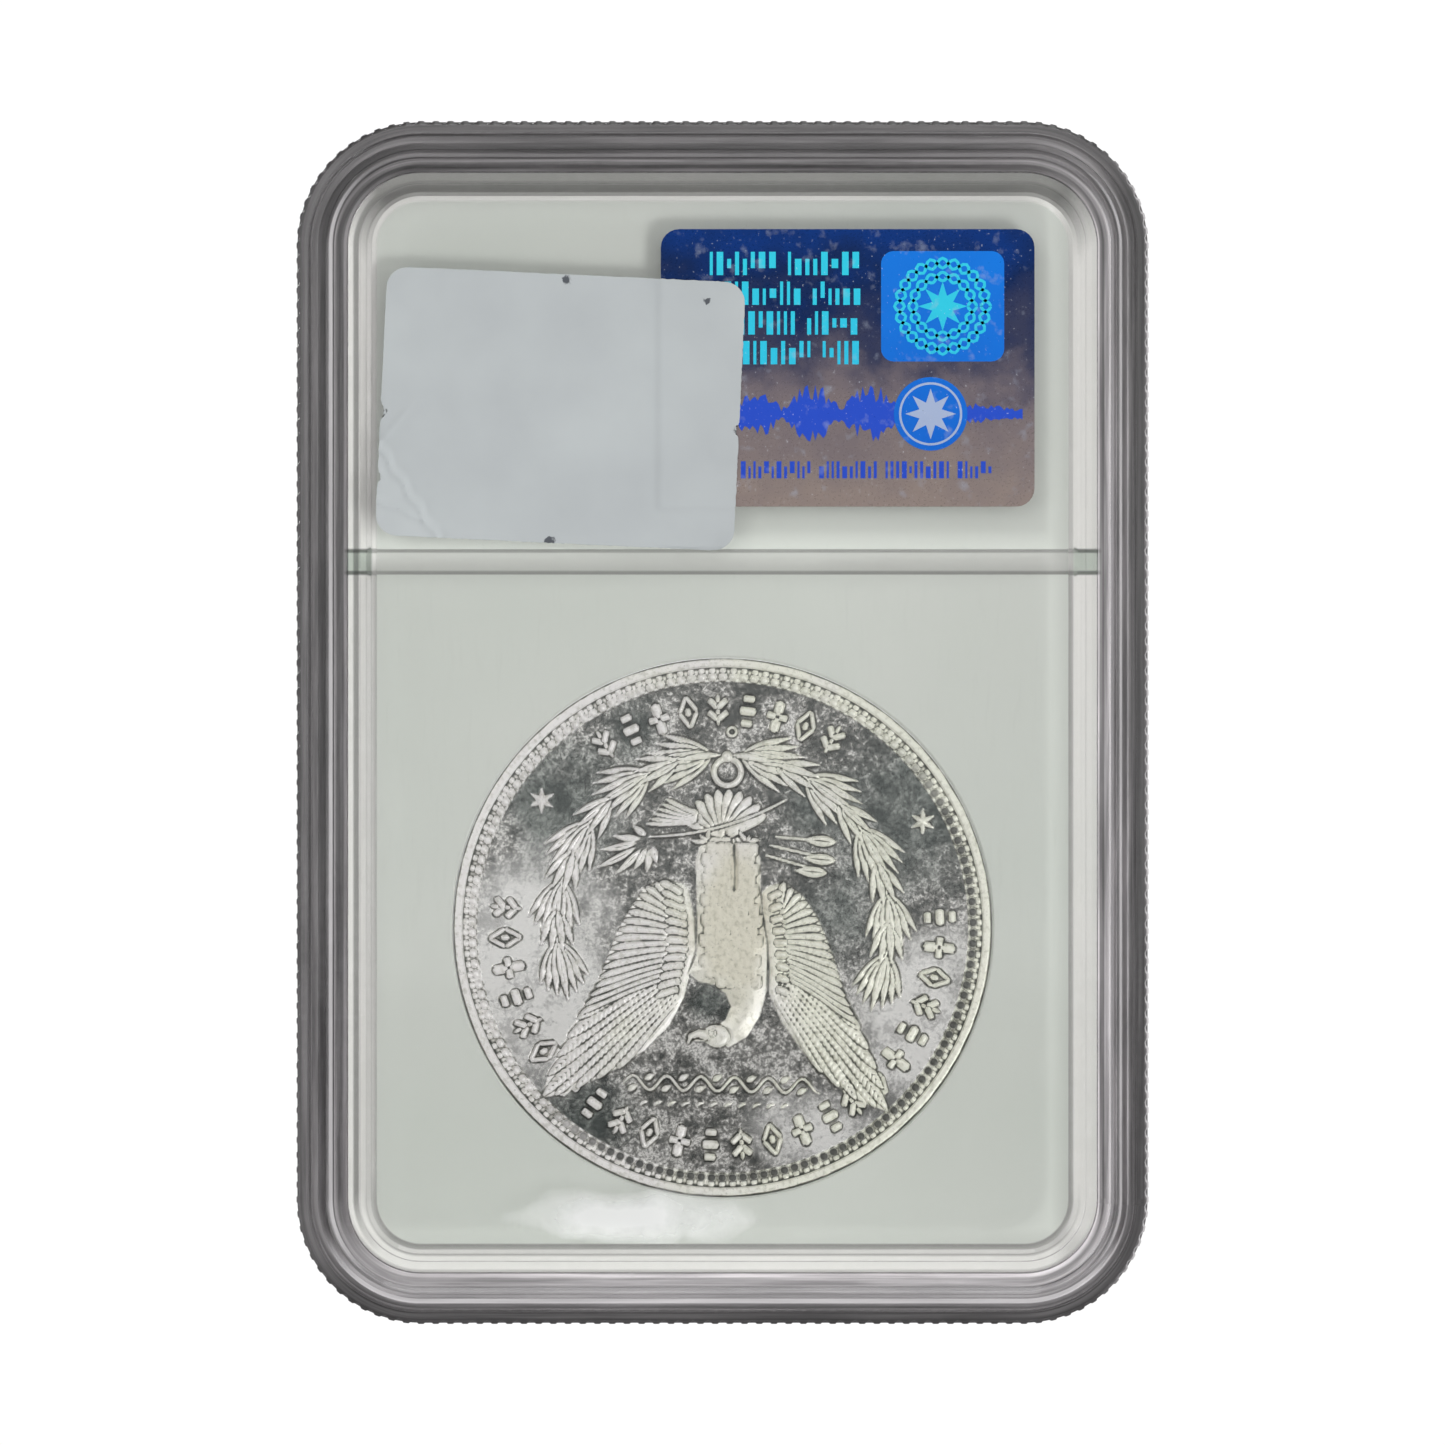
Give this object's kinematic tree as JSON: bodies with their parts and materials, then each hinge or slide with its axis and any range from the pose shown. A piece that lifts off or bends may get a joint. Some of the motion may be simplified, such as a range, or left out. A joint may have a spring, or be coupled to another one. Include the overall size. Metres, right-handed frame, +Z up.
{
  "type": "graded coin slab",
  "caption": "Clear rounded slab that seals a large silver coin in a white core, with a front label, a foil seal and a blank price sticker on the back.",
  "frame": {"origin": "middle of the bottom edge, halfway between the two outer faces", "axes": "+Z up the slab's height, +X to the right seen from the back, -Y out of the back face that carries the seal and the sticker"},
  "size_m": [0.0602, 0.008, 0.085],
  "materials": {
    "clear_plastic": "gloss",
    "weld_plastic": "satin",
    "core_plastic": "satin",
    "silver": "polished",
    "label_paper": "matte",
    "seal_foil": "gloss",
    "sticker_paper": "matte"
  },
  "bodies": {
    "holder": {"back_shell": "clear_plastic", "front_shell": "clear_plastic", "weld_seam": "weld_plastic", "core": "core_plastic", "grading_label": "label_paper", "hologram_seal": "seal_foil", "price_sticker": "sticker_paper"},
    "coin": {"coin": "silver"}
  },
  "joints": [
    {"name": "coin_turn", "type": "hinge", "parent": "holder", "child": "coin", "pos_m": [0, 0, 0.028], "axis": [0, 1, 0], "continuous": true}
  ]
}
